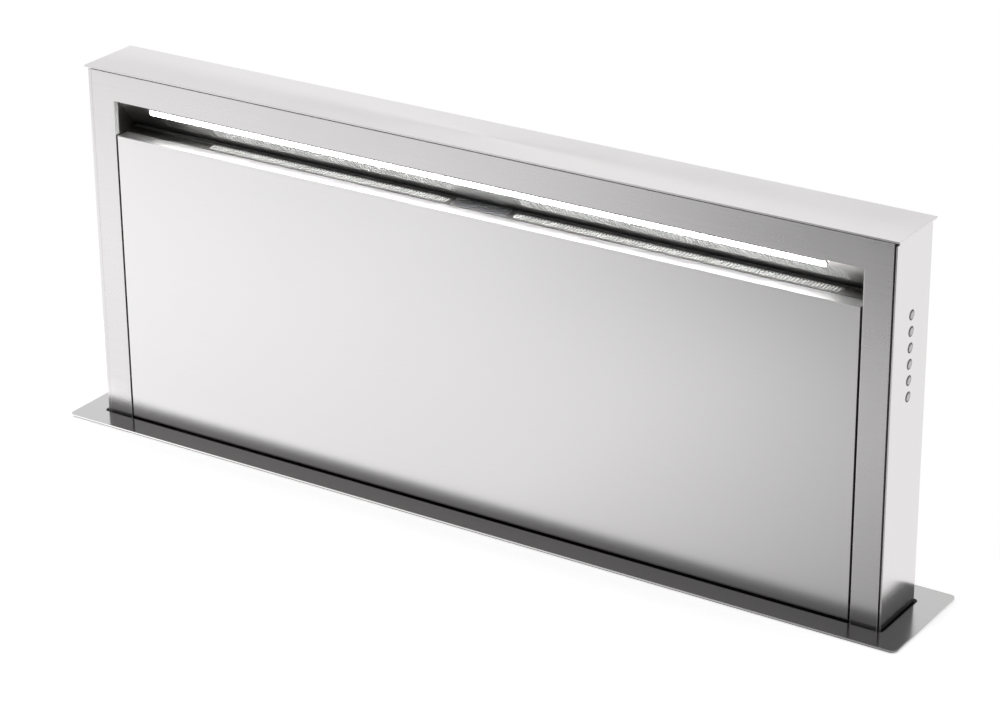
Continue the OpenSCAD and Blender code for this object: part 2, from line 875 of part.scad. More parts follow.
module button_board() {
  color("darkgreen") block([carrier_x - 1.6, -carrier_w / 2, carrier_z[0]],
    [carrier_x, carrier_w / 2, carrier_z[1]]);
}

// Cap, retaining flange and stem of one button
module button(k) {
  z = button_z0 - k * button_pitch;
  face = riser_x - skin_t - seat_gap;
  stem_end = carrier_x + button_travel + 0.5;
  rod_x([face - button_flange_t, 0, z], button_flange_t, button_flange_d / 2);
  rod_x([face - eps, 0, z], riser_x + button_out - face, button_d / 2);
  rod_x([stem_end, 0, z], face - button_flange_t - stem_end + eps, 2);
}

module button_1() { color(alu) button(0); }
module button_2() { color(alu) button(1); }
module button_3() { color(alu) button(2); }
module button_4() { color(alu) button(3); }
module button_5() { color(alu) button(4); }
module button_6() { color(alu) button(5); }

beam_x = riser_x - skin_t - seat_gap;

// Front and back bars across the foot of the riser
beam_y = [skin_y + seat_gap, riser_y - skin_t - seat_gap];
drive_plate_w = 90;
end_plate_w = 30;

module bottom_beam() {
  color(zinc) for (y = [beam_y[0], beam_y[1] - beam_w]) {
    block([-beam_x, y, riser_low], [beam_x, y + beam_w, riser_low + beam_t]);
  }
}

// Plates between the bars that carry the drive, with the way for the air left open beside them
module drive_plates() {
  y = [beam_y[0] + beam_w, beam_y[1] - beam_w];
  color(zinc) {
    block([-drive_plate_w / 2, y[0], riser_low], [drive_plate_w / 2, y[1], riser_low + beam_t]);
    both_sides() block([beam_x - end_plate_w, y[0], riser_low], [beam_x, y[1], riser_low + beam_t]);
  }
}

// Plastic shoe on each side sheet, running in the guide rail
module guide_shoes() {
  low = riser_low + 5;
  color("white") both_sides() block([riser_x, rail_y[0] + rail_t + slide_gap, low],
    [house_in_x - rail_t - slide_gap, rail_y[1] - rail_t - slide_gap, low + shoe_l]);
}

module lift_gearbox() {
  color(dark) difference() {
    block([-27, shaft_y - 22, riser_low - gearbox_h], [27, shaft_y + 18, riser_low]);
    rod_x([-28, shaft_y, shaft_z], 56, shaft_d / 2 + run_gap);
  }
}

module lift_motor() {
  low = riser_low + beam_t;
  color(alu) {
    rod_z([0, 0, low], lift_motor_l, lift_motor_d / 2);
    rod_z([0, 0, low + lift_motor_l - eps], 5, lift_motor_d / 4);
  }
}

bearing_in = 18;
bearing_x = riser_x - bearing_in;

// Hanger plate with a bush for each end of the cross shaft
module shaft_bearings() {
  color(zinc) both_sides() difference() {
    union() {
      block([bearing_x, shaft_y - 10, shaft_z], [bearing_x + 4, shaft_y + 10, riser_low]);
      rod_x([bearing_x, shaft_y, shaft_z], 4, 10);
      rod_x([bearing_x - 4, shaft_y, shaft_z], 12, 6);
    }
    rod_x([bearing_x - 5, shaft_y, shaft_z], 14, shaft_d / 2 + run_gap);
  }
}

module drive_shaft() {
  shaft_l = 2 * (house_in_x - 1.5);
  color(alu) rod_x([-shaft_l / 2, shaft_y, shaft_z], shaft_l, shaft_d / 2);
}

// Flank points of one tooth from the root to the tip and back
function tooth(mid) = [
  for (side = [-1, 1]) each [
    for (i = [0 : 4]) let (
      step = side < 0 ? i : 4 - i,
      r = step == 0 ? pinion_root : base_r + (pinion_tip - base_r) * (step - 1) / 3,
      a = mid + side * tooth_half(max(r, base_r))
    ) r * [cos(a), sin(a)]
  ]
];

module drive_pinions() {
  outline = [for (k = [0 : pinion_teeth - 1]) each tooth(k * 360 / pinion_teeth)];
  start = rail_reach + 0.4;
  color(zinc) both_sides() difference() {
    translate([start, shaft_y, shaft_z]) rotate([90, 0, 90]) linear_extrude(pinion_w) polygon(outline);
    rod_x([start - 1, shaft_y, shaft_z], pinion_w + 2, shaft_d / 2);
  }
}

// Folded panel: face, polished lip with its return, and two side folds that carry the pins
module front_panel() {
  lip_y = -riser_y + lip_d;
  color(steel) {
    difference() {
      union() {
        block([-panel_x, -riser_y, panel_low], [panel_x, skin_y, panel_top]);
        block([-panel_x, skin_y - eps, panel_top - skin_t], [panel_x, lip_y, panel_top]);
        block([-panel_x, lip_y - skin_t, panel_top - 8], [panel_x, lip_y, panel_top - skin_t + eps]);
        both_sides() block([panel_x - skin_t, skin_y - eps, panel_low + 2],
          [panel_x, skin_y + panel_fold, panel_top - skin_t]);
      }
      both_sides() rod_x([panel_x - 3, hinge_y, hinge_z], 6, hinge_pin_d / 2);
    }
  }
}

module panel_hinge_pins() {
  color(alu) both_sides() {
    rod_x([panel_x - skin_t - 3, hinge_y, hinge_z], hinge_block_w + 8.8, hinge_pin_d / 2);
    rod_x([panel_x - skin_t - 4, hinge_y, hinge_z], 4, hinge_pin_d / 2 + 1.5);
  }
}

// Block behind each upright with the bore for a panel pin
module panel_hinges() {
  color(zinc) both_sides() difference() {
    block([open_x + 1, skin_y, hinge_z - hinge_block_h / 2],
      [open_x + 1 + hinge_block_w, hinge_y + 7, hinge_z + hinge_block_h / 2]);
    rod_x([open_x, hinge_y, hinge_z], hinge_block_w + 2, hinge_pin_d / 2 + run_gap);
  }
}

module panel_magnets() {
  color(dark) both_sides() {
    block([magnet_x, -riser_y + lip_d + seat_gap, panel_top - 12],
      [magnet_x + magnet_w, -riser_y + trough_low_d + 5, panel_top - 5]);
    block([magnet_x - 4, -riser_y + trough_low_d + trough_t, panel_top - 16],
      [magnet_x + magnet_w + 4, -riser_y + trough_low_d + 5, panel_top - 5]);
  }
}

worktop_flange();
flange_gasket();
slot_seal();
housing_front();
housing_back();
housing_left();
housing_right();
housing_floor();
guide_rails();
lift_racks();
clamp_brackets();
clamp_screws();
base_brackets();
limit_switches();
scroll_casing();
scroll_plate();
scroll_cover();
fan_motor();
outlet_collar();
damper_pin();
control_box();
control_cover();
control_board();
terminal_block();
cable_gland();
impeller();
motor_shaft();
damper_flap_left();
damper_flap_right();
front_frame();
riser_left_side();
riser_right_side();
riser_back();
top_cap();
suction_trough();
filter_left();
filter_right();
led_channel();
led_board();
led_diffuser();
button_carrier();
button_board();
bottom_beam();
drive_plates();
guide_shoes();
lift_gearbox();
lift_motor();
shaft_bearings();
panel_hinges();
panel_magnets();
drive_shaft();
drive_pinions();
front_panel();
panel_hinge_pins();
button_1();
button_2();
button_3();
button_4();
button_5();
button_6();
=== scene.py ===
import math

import bmesh
import bpy
from mathutils import Matrix, Vector


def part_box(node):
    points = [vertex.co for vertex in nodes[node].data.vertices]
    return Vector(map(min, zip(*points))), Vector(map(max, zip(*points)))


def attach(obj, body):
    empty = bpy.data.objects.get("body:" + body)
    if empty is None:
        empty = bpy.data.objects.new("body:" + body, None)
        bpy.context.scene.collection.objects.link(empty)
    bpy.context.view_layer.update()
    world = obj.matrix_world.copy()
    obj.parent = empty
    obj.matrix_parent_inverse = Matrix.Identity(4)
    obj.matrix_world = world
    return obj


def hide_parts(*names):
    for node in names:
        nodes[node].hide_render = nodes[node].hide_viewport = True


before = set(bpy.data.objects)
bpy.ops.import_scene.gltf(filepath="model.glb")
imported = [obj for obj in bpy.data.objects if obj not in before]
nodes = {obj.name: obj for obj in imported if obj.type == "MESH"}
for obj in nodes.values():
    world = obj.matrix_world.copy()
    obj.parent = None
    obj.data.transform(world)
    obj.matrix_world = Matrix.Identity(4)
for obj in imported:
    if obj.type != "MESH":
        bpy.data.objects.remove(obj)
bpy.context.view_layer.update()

mm = 0.001

# Faces of the riser, the housing and the suction slot, read from the frame
front_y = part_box("front_frame")[0].y
side_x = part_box("riser_right_side")[1].x
trough_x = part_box("suction_trough")[1].x
panel_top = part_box("front_panel")[1].z
slot_top = panel_top + 33.5 * mm
housing_low, housing_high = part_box("housing_front")

# Section of the suction trough: its fold, and the free edges of its upper and lower face
valley = Vector((0, front_y + 31 * mm, panel_top + 2 * mm))
upper_end = Vector((0, front_y + 4 * mm, slot_top + 1.5 * mm))
lower_end = Vector((0, front_y + 15.5 * mm, panel_top + 0.1 * mm))

# Filter windows: reach up each face from the fold, shift of the upper ones to the right, and rim
upper_window = (10.5 * mm, 31 * mm)
lower_window = (5.5 * mm, 13.5 * mm)
window_shift = 6 * mm
window_rim = 3 * mm

# Brush lines per metre along X, Y and Z
ALONG_WIDTH = (6.0, 900.0, 900.0)
ALONG_HEIGHT = (900.0, 900.0, 6.0)

STEEL = (0.80, 0.785, 0.788)
DUST = (0.55, 0.55, 0.54, 1)
FLOAT, VECTOR = "NodeSocketFloat", "NodeSocketVector"
FRONT, BACK = Vector((0, -1, 0)), Vector((0, 1, 0))
BUTTONS = range(1, 7)


# Shader nodes
def make(tree, kind, values=None, **settings):
    """Adds a shader node, sets its options, and fills or links its sockets."""
    node = tree.nodes.new(kind)
    for name, value in settings.items():
        setattr(node, name, value)
    for name, value in (values or {}).items():
        if isinstance(value, bpy.types.NodeSocket):
            tree.links.new(value, node.inputs[name])
        else:
            node.inputs[name].default_value = value
    return node


def feed(tree, node, **sockets):
    """Links sockets to a node's inputs, named with underscores for their spaces."""
    for name, socket in sockets.items():
        tree.links.new(socket, node.inputs[name.replace("_", " ")])


def calc(tree, operation, *values):
    """A sum on numbers or sockets."""
    return make(tree, "ShaderNodeMath", dict(enumerate(values)), operation=operation).outputs[0]


def vector_calc(tree, operation, first, second):
    """A sum on two vectors, which gives a number for a product or a distance."""
    node = make(tree, "ShaderNodeVectorMath", {0: first, 1: second}, operation=operation)
    return node.outputs["Value" if operation in ("DOT_PRODUCT", "DISTANCE") else "Vector"]


def ramp(tree, value, low, high, start=0.0, end=1.0):
    """A number from low to high as the value goes from start to end."""
    ends = {"From Min": start, "From Max": end, "To Min": low, "To Max": high}
    return make(tree, "ShaderNodeMapRange", {"Value": value, **ends}).outputs[0]


def noise(tree, place, scale, **constants):
    """Soft random values over a surface, as Fac and Color."""
    return make(tree, "ShaderNodeTexNoise", {"Vector": place, "Scale": scale, **constants}).outputs


def on_piece(tree):
    """The place on the piece, in metres."""
    return make(tree, "ShaderNodeTexCoord").outputs["Object"]


def along(tree, vector, axis):
    """One axis of a vector."""
    return make(tree, "ShaderNodeSeparateXYZ", {0: vector}).outputs[axis]


def faces_up(tree):
    """A mask of the faces that look up."""
    normal = make(tree, "ShaderNodeNewGeometry").outputs["Normal"]
    return calc(tree, "GREATER_THAN", along(tree, normal, "Z"), 0.5)


def colour_mix(tree, mask, low, high):
    """A colour from low to high as the mask goes from 0 to 1."""
    node = tree.nodes.new("ShaderNodeMix")
    node.data_type = "RGBA"
    ends = {"Factor_Float": mask, "A_Color": low, "B_Color": high}
    for socket in node.inputs:
        if socket.identifier in ends:
            value = ends[socket.identifier]
            if isinstance(value, bpy.types.NodeSocket):
                tree.links.new(value, socket)
            else:
                socket.default_value = value
    return next(s for s in node.outputs if s.identifier == "Result_Color")


def shade(colour, factor):
    """A colour made paler or darker, with its alpha."""
    return (*[min(1.0, c * factor) for c in colour], 1.0)


def empty_tree(owner):
    """The cleared shader tree of a material or a world."""
    owner.use_nodes = True
    owner.node_tree.nodes.clear()
    return owner.node_tree


# Effects that several finishes share
def shared_effect(name, inputs, outputs):
    """An empty node group with named sockets, and its two ends."""
    tree = bpy.data.node_groups.new(name, "ShaderNodeTree")
    for label, kind, value in inputs:
        socket = tree.interface.new_socket(name=label, in_out="INPUT", socket_type=kind)
        socket.default_value = value
    for label, kind in outputs:
        tree.interface.new_socket(name=label, in_out="OUTPUT", socket_type=kind)
    return tree, tree.nodes.new("NodeGroupInput").outputs, tree.nodes.new("NodeGroupOutput")


def brushing():
    """Long parallel brush lines and the slow cloudiness of a sheet."""
    tree, start, end = shared_effect(
        "brushing", [("Lines per metre", VECTOR, ALONG_WIDTH)], [("Grain", FLOAT), ("Cloud", FLOAT)])
    place = on_piece(tree)
    lines = make(tree, "ShaderNodeMapping", {"Vector": place, "Scale": start["Lines per metre"]})
    grain = noise(tree, lines.outputs["Vector"], 1.0, Detail=3.0, Roughness=0.65)
    cloud = noise(tree, place, 5.0, Detail=2.0, Roughness=0.5)
    feed(tree, end, Grain=grain["Fac"], Cloud=cloud["Fac"])
    return tree


def soft_edge():
    """Rounds sharp sheet edges in the shading and marks where they are."""
    tree, start, end = shared_effect(
        "soft_edge", [("Radius", FLOAT, 0.4 * mm)], [("Normal", VECTOR), ("Edge", FLOAT)])
    rounded = make(tree, "ShaderNodeBevel", {"Radius": start["Radius"]}, samples=4).outputs["Normal"]
    flat = make(tree, "ShaderNodeNewGeometry").outputs["Normal"]
    same = vector_calc(tree, "DOT_PRODUCT", rounded, flat)
    feed(tree, end, Normal=rounded, Edge=ramp(tree, same, 0.0, 1.0, start=0.98, end=0.8))
    return tree


def handling():
    """Faint smears and dust, as a mask."""
    tree, start, end = shared_effect(
        "handling", [("Size", FLOAT, 14.0), ("Amount", FLOAT, 0.5)], [("Smear", FLOAT)])
    smear = noise(tree, on_piece(tree), start["Size"], Detail=5.0, Roughness=0.6, Distortion=0.8)
    feed(tree, end, Smear=ramp(tree, smear["Fac"], 0.0, start["Amount"], start=0.45, end=0.75))
    return tree


def spangle():
    """Zinc crystals of a galvanised sheet, with bent outlines."""
    tree, start, end = shared_effect(
        "spangle", [("Crystals per metre", FLOAT, 90.0)], [("Crystal", FLOAT)])
    place = on_piece(tree)
    warp = noise(tree, place, 60.0, Detail=2.0)["Color"]
    bend = vector_calc(tree, "MULTIPLY", warp, (0.01, 0.01, 0.01))
    spot = vector_calc(tree, "ADD", place, bend)
    cell = make(tree, "ShaderNodeTexVoronoi", {"Vector": spot, "Scale": start["Crystals per metre"]})
    split = make(tree, "ShaderNodeSeparateColor", {"Color": cell.outputs["Color"]})
    feed(tree, end, Crystal=split.outputs["Red"])
    return tree


def pebble():
    """Fine moulded or painted skin, as a height, and its slow patches."""
    tree, start, end = shared_effect(
        "pebble", [("Grains per metre", FLOAT, 1200.0)], [("Height", FLOAT), ("Patch", FLOAT)])
    place = on_piece(tree)
    grain = noise(tree, place, start["Grains per metre"], Detail=2.0)
    patch = noise(tree, place, 30.0, Detail=3.0)
    feed(tree, end, Height=grain["Fac"], Patch=patch["Fac"])
    return tree


EFFECTS = {maker.__name__: maker() for maker in (brushing, soft_edge, handling, spangle, pebble)}


def effect(tree, name, values=None):
    """Places a shared effect with a material's own values, and gives its outputs."""
    return make(tree, "ShaderNodeGroup", values, node_tree=EFFECTS[name]).outputs


# Finishes
def blank(name, **constants):
    """A material with a Principled shader, whose constant sockets are set here."""
    material = bpy.data.materials.new(name)
    tree = empty_tree(material)
    values = {socket.replace("_", " "): value for socket, value in constants.items()}
    shader = make(tree, "ShaderNodeBsdfPrincipled", values)
    make(tree, "ShaderNodeOutputMaterial", {"Surface": shader.outputs[0]}, is_active_output=True)
    return material, tree, shader


def raise_surface(tree, shader, height, edge, strength, distance=0.1 * mm):
    """Gives the finish its relief, on top of the softened edges."""
    bump = make(tree, "ShaderNodeBump", {"Height": height, "Strength": strength, "Distance": distance,
                                         "Normal": edge["Normal"]})
    feed(tree, shader, Normal=bump.outputs[0])


def brushed_steel(name, colour, lines, rough, contrast=0.06, relief=0.12, edge_width=0.4 * mm):
    """Stainless sheet with brush lines along its length, duller on its edges, with a painted highlight that
    makes them paler.
    """
    material, tree, shader = blank(name, Anisotropic=0.4)
    grain = effect(tree, "brushing", {"Lines per metre": lines})["Grain"]
    edge = effect(tree, "soft_edge", {"Radius": edge_width})
    smear = effect(tree, "handling", {"Size": 9.0, "Amount": 0.35})["Smear"]
    body = colour_mix(tree, grain, shade(colour, 1 - contrast), shade(colour, 1 + contrast))
    lined = ramp(tree, grain, rough * 0.8, rough * 1.25)
    worn = calc(tree, "MULTIPLY_ADD", smear, 0.1, lined)
    # Painted highlight: the base colour turns paler on the edges, which are also duller and less metallic.
    feed(tree, shader, Base_Color=colour_mix(tree, edge["Edge"], body, shade(colour, 1.22)),
         Roughness=ramp(tree, edge["Edge"], worn, 0.5), Metallic=ramp(tree, edge["Edge"], 1.0, 0.4))
    raise_surface(tree, shader, grain, edge, relief)
    return material


def panel_steel():
    """Satin panel with a coarser ground lip along its top; the lip and the edges are paler, a painted
    highlight.
    """
    colour, edge_highlight_colour, lip_highlight_colour = (0.885, 0.872, 0.872), (0.95, 0.95, 0.95, 1), (0.93, 0.93, 0.93, 1)
    lip_depth = 0.3 * mm
    material, tree, shader = blank("panel_steel", Metallic=1.0)
    sheet = effect(tree, "brushing", {"Lines per metre": (8.0, 700.0, 700.0)})
    edge = effect(tree, "soft_edge", {"Radius": 0.5 * mm})
    at_top = calc(tree, "GREATER_THAN", along(tree, on_piece(tree), "Z"), panel_top - lip_depth)
    lip = calc(tree, "MULTIPLY", at_top, faces_up(tree))
    body = colour_mix(tree, sheet["Grain"], shade(colour, 0.985), shade(colour, 1.015))
    # Painted highlight: the edges are paler than the sheet.
    face = colour_mix(tree, edge["Edge"], body, edge_highlight_colour)
    satin = ramp(tree, sheet["Cloud"], 0.27, 0.33)
    # Painted highlight: the lip along the top is paler, as well as rougher.
    feed(tree, shader, Base_Color=colour_mix(tree, lip, face, lip_highlight_colour),
         Roughness=ramp(tree, lip, satin, 0.5))
    raise_surface(tree, shader, sheet["Grain"], edge, 0.05, 0.05 * mm)
    return material


def trough_steel():
    """Dull steel of the suction trough, with painted shade in its fold, and darker towards its left end."""
    fold_shade_start, fold_shade_end = 0.8 * mm, 12 * mm
    end_dark_x, end_plain_x = -360 * mm, -260 * mm
    fold_shade_colour, end_dark_colour = (0.10, 0.098, 0.093, 1), (0.27, 0.265, 0.255, 1)
    material, tree, shader = blank("trough_steel", Metallic=1.0)
    grain = effect(tree, "brushing", {"Lines per metre": (6.0, 700.0, 700.0)})["Grain"]
    edge = effect(tree, "soft_edge", {"Radius": 0.4 * mm})
    place = on_piece(tree)
    section = vector_calc(tree, "MULTIPLY", place, (0, 1, 1))
    # Painted shade: the steel darkens towards the fold, where little light gets into the slot.
    from_fold = ramp(tree, vector_calc(tree, "DISTANCE", section, valley), 0.0, 1.0, fold_shade_start, fold_shade_end)
    # The steel is also darker towards the left end of the trough.
    from_end = ramp(tree, along(tree, place, "X"), 0.0, 1.0, end_dark_x, end_plain_x)
    plain_metal = colour_mix(tree, grain, (0.50, 0.495, 0.49, 1), (0.60, 0.595, 0.59, 1))
    shaded_steel = colour_mix(tree, from_fold, fold_shade_colour, colour_mix(tree, from_end, end_dark_colour, plain_metal))
    feed(tree, shader, Base_Color=colour_mix(tree, edge["Edge"], shaded_steel, (0.5, 0.5, 0.49, 1)),
         Roughness=ramp(tree, grain, 0.28, 0.38))
    raise_surface(tree, shader, grain, edge, 0.03, 0.05 * mm)
    return material


def galvanised_sheet():
    """Zinc-coated sheet with spangles and a little dust."""
    material, tree, shader = blank("galvanised_sheet", Metallic=1.0)
    crystal = effect(tree, "spangle")["Crystal"]
    edge = effect(tree, "soft_edge", {"Radius": 0.5 * mm})
    smear = effect(tree, "handling", {"Size": 6.0, "Amount": 0.7})["Smear"]
    zinc = colour_mix(tree, crystal, (0.50, 0.52, 0.54, 1), (0.72, 0.74, 0.76, 1))
    dusty = colour_mix(tree, smear, zinc, DUST)
    # Painted highlight: the edges are paler than the zinc.
    feed(tree, shader, Base_Color=colour_mix(tree, edge["Edge"], dusty, (0.80, 0.81, 0.82, 1)),
         Roughness=ramp(tree, crystal, 0.32, 0.52))
    raise_surface(tree, shader, crystal, edge, 0.15)
    return material


def aluminium(name, lines):
    """Drawn or rolled aluminium with fine lines along its length."""
    material, tree, shader = blank(name, Metallic=1.0)
    grain = effect(tree, "brushing", {"Lines per metre": lines})["Grain"]
    edge = effect(tree, "soft_edge", {"Radius": 0.3 * mm})
    body = colour_mix(tree, grain, (0.66, 0.67, 0.69, 1), (0.80, 0.81, 0.83, 1))
    # Painted highlight: the edges are paler than the aluminium.
    feed(tree, shader, Base_Color=colour_mix(tree, edge["Edge"], body, (0.9, 0.9, 0.92, 1)),
         Roughness=ramp(tree, grain, 0.28, 0.45))
    raise_surface(tree, shader, grain, edge, 0.1)
    return material


def mesh_aluminium():
    """Matt etched aluminium, a little duller where it is handled."""
    material, tree, shader = blank("mesh_aluminium", Metallic=0.0)
    patch = effect(tree, "pebble", {"Grains per metre": 2500.0})["Patch"]
    smear = effect(tree, "handling", {"Size": 25.0, "Amount": 0.5})["Smear"]
    plain_metal = colour_mix(tree, patch, (0.60, 0.60, 0.595, 1), (0.66, 0.66, 0.655, 1))
    feed(tree, shader, Base_Color=colour_mix(tree, smear, plain_metal, DUST),
         Roughness=ramp(tree, patch, 0.5, 0.62))
    return material


def machined_steel():
    """Turned and ground steel with an oily sheen."""
    material, tree, shader = blank("machined_steel", Metallic=1.0, Coat_Weight=0.15, Coat_Roughness=0.25)
    grain = effect(tree, "brushing", {"Lines per metre": (1400.0, 60.0, 60.0)})["Grain"]
    edge = effect(tree, "soft_edge", {"Radius": 0.3 * mm})
    smear = effect(tree, "handling", {"Size": 40.0, "Amount": 0.8})["Smear"]
    body = colour_mix(tree, grain, (0.38, 0.38, 0.39, 1), (0.60, 0.60, 0.61, 1))
    oily = colour_mix(tree, smear, body, (0.24, 0.23, 0.21, 1))
    # Painted highlight: the edges are paler than the turned steel.
    feed(tree, shader, Base_Color=colour_mix(tree, edge["Edge"], oily, (0.75, 0.75, 0.76, 1)),
         Roughness=ramp(tree, grain, 0.2, 0.38))
    raise_surface(tree, shader, grain, edge, 0.1)
    return material


def moulded(name, colour, rough, grains=1500.0):
    """Moulded plastic, rubber or foam with a pebbled skin."""
    material, tree, shader = blank(name)
    skin = effect(tree, "pebble", {"Grains per metre": grains})
    edge = effect(tree, "soft_edge", {"Radius": 0.5 * mm})
    body = colour_mix(tree, skin["Patch"], shade(colour, 0.85), shade(colour, 1.15))
    # Painted highlight: the edges are paler than the moulding.
    feed(tree, shader, Base_Color=colour_mix(tree, edge["Edge"], body, shade(colour, 1.5)),
         Roughness=ramp(tree, skin["Patch"], rough - 0.08, rough + 0.08))
    raise_surface(tree, shader, skin["Height"], edge, 0.2)
    return material


def motor_paint():
    """Black stoved paint with a slight orange peel."""
    material, tree, shader = blank("motor_paint", Coat_Weight=0.3, Coat_Roughness=0.2)
    skin = effect(tree, "pebble", {"Grains per metre": 350.0})
    edge = effect(tree, "soft_edge", {"Radius": 0.6 * mm})
    smear = effect(tree, "handling", {"Size": 20.0, "Amount": 0.6})["Smear"]
    body = colour_mix(tree, smear, (0.035, 0.035, 0.038, 1), (0.10, 0.10, 0.10, 1))
    # Painted highlight: the edges are paler than the black paint.
    feed(tree, shader, Base_Color=colour_mix(tree, edge["Edge"], body, (0.22, 0.22, 0.22, 1)),
         Roughness=ramp(tree, skin["Patch"], 0.38, 0.52))
    raise_surface(tree, shader, skin["Height"], edge, 0.15, 0.2 * mm)
    return material


def opal_lamp():
    """Lit opal cover, whose warmth varies a little along it."""
    opal = (0.95, 0.95, 0.95, 1)
    material, tree, shader = blank("opal_lamp", Base_Color=opal, Emission_Strength=22.0, Roughness=0.4)
    patch = effect(tree, "pebble", {"Grains per metre": 900.0})["Patch"]
    feed(tree, shader, Emission_Color=colour_mix(tree, patch, (1.0, 0.985, 0.965, 1), (1.0, 0.995, 0.985, 1)))
    return material


def circuit_board():
    """Green lacquered board with paler tracks."""
    material, tree, shader = blank("circuit_board", Coat_Weight=0.4, Coat_Roughness=0.15)
    bricks = {"Vector": on_piece(tree), "Scale": 60.0, "Mortar Size": 0.03}
    track = make(tree, "ShaderNodeTexBrick", bricks).outputs["Fac"]
    edge = effect(tree, "soft_edge")
    patch = effect(tree, "pebble")["Patch"]
    faint = calc(tree, "MULTIPLY", track, 0.5)
    feed(tree, shader, Base_Color=colour_mix(tree, faint, (0.03, 0.16, 0.08, 1), (0.16, 0.34, 0.16, 1)),
         Roughness=ramp(tree, patch, 0.3, 0.45))
    raise_surface(tree, shader, track, edge, 0.2)
    return material


FINISH = {
    "lid": brushed_steel("lid_steel", (0.835, 0.82, 0.82), ALONG_WIDTH, 0.30),
    "front": brushed_steel("front_steel", STEEL, ALONG_WIDTH, 0.28, edge_width=0.9 * mm),
    "side": brushed_steel("side_steel", (0.83, 0.815, 0.815), ALONG_HEIGHT, 0.18, contrast=0.02, relief=0.05),
    # Painted shade: the flange wears a darker copy of the sheet steel.
    "flange": brushed_steel("flange_steel", (0.64, 0.632, 0.632), ALONG_WIDTH, 0.17,
                            contrast=0.04, relief=0.06),
    "cap": brushed_steel("button_steel", (0.56, 0.55, 0.55), (700.0, 700.0, 700.0), 0.34, contrast=0.05),
    "trough": trough_steel(),
    "panel": panel_steel(),
    "mesh": mesh_aluminium(),
    "zinc": galvanised_sheet(),
    "rolled": aluminium("rolled_aluminium", (60.0, 60.0, 900.0)),
    "drawn": aluminium("drawn_aluminium", ALONG_WIDTH),
    "machined": machined_steel(),
    "black": moulded("black_plastic", (0.035, 0.035, 0.037), 0.5),
    "grey": moulded("grey_plastic", (0.12, 0.12, 0.12), 0.4),
    "foam": moulded("foam", (0.03, 0.03, 0.03), 0.85, 700.0),
    "white": moulded("white_plastic", (0.80, 0.80, 0.77), 0.45),
    "paint": motor_paint(),
    "lamp": opal_lamp(),
    "board": circuit_board(),
}

# The solids that wear each finish
NODE_FINISH = {
    "lid": "top_cap",
    "front": "front_frame riser_back",
    "side": "riser_left_side riser_right_side",
    "flange": "worktop_flange",
    "cap": " ".join(f"button_{count}" for count in BUTTONS),
    "trough": "suction_trough",
    "panel": "front_panel",
    "mesh": "filter_left filter_right",
    "zinc": "housing_front housing_back housing_left housing_right housing_floor clamp_brackets "
            "base_brackets scroll_casing scroll_plate scroll_cover outlet_collar control_box control_cover "
            "bottom_beam drive_plates shaft_bearings panel_hinges",
    "rolled": "guide_rails damper_flap_left damper_flap_right impeller",
    "drawn": "led_channel",
    "machined": "clamp_screws damper_pin motor_shaft drive_shaft drive_pinions lift_motor panel_hinge_pins",
    "black": "slot_seal limit_switches cable_gland button_carrier panel_magnets lift_racks",
    "foam": "flange_gasket",
    "white": "terminal_block guide_shoes",
    "paint": "fan_motor lift_gearbox",
    "lamp": "led_diffuser",
    "board": "control_board button_board led_board",
}


def wear(piece, finish):
    """Gives a piece its finish in place of any other."""
    piece.data.materials.clear()
    piece.data.materials.append(FINISH[finish])


def finish_nodes():
    """Gives every solid of the frame its finish."""
    for finish, names in NODE_FINISH.items():
        for name in names.split():
            wear(nodes[name], finish)


# Shapes
def add_object(name, mesh):
    """Turns a bmesh into an object of the scene."""
    data = bpy.data.meshes.new(name)
    mesh.to_mesh(data)
    mesh.free()
    thing = bpy.data.objects.new(name, data)
    bpy.context.scene.collection.objects.link(thing)
    return thing


def new_piece(name, mesh, finish, body):
    """Wraps a bmesh as an object that rides on a body."""
    bmesh.ops.recalc_face_normals(mesh, faces=mesh.faces)
    piece = add_object(name, mesh)
    wear(piece, finish)
    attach(piece, body)
    return piece


def add_block(mesh, low, high, turn=Matrix.Identity(4)):
    """A box between two corners, in the frame that turn gives."""
    xs, ys, zs = zip(low, high)
    v = [mesh.verts.new(turn @ Vector((x, y, z))) for x in xs for y in ys for z in zs]
    for a, b, c, d in ((0, 1, 3, 2), (4, 6, 7, 5), (0, 4, 5, 1), (2, 3, 7, 6), (0, 2, 6, 4), (1, 5, 7, 3)):
        mesh.faces.new((v[a], v[b], v[c], v[d]))


def add_circle(mesh, radius, height, turn, steps):
    """Points of a circle round local Z."""
    angles = [2 * math.pi * step / steps for step in range(steps)]
    points = [Vector((radius * math.cos(angle), radius * math.sin(angle), height)) for angle in angles]
    return [mesh.verts.new(turn @ point) for point in points]


def add_lathe(mesh, profile, turn, steps=32):
    """A closed turned form round local Z, from (radius, height) points that start and end on the axis."""
    rings = []
    for radius, height in profile:
        if radius == 0:
            rings.append([mesh.verts.new(turn @ Vector((0, 0, height)))])
        else:
            rings.append(add_circle(mesh, radius, height, turn, steps))
    for low, high in zip(rings, rings[1:]):
        for step in range(steps):
            after = (step + 1) % steps
            if len(low) == 1:
                mesh.faces.new((low[0], high[after], high[step]))
            elif len(high) == 1:
                mesh.faces.new((low[step], low[after], high[0]))
            else:
                mesh.faces.new((low[step], low[after], high[after], high[step]))


def add_ring(mesh, profile, turn, steps=32):
    """A closed ring round local Z, from the points of its section."""
    rings = [add_circle(mesh, radius, height, turn, steps) for radius, height in profile]
    for index, low in enumerate(rings):
        high = rings[(index + 1) % len(rings)]
        for step in range(steps):
            after = (step + 1) % steps
            mesh.faces.new((low[step], low[after], high[after], high[step]))


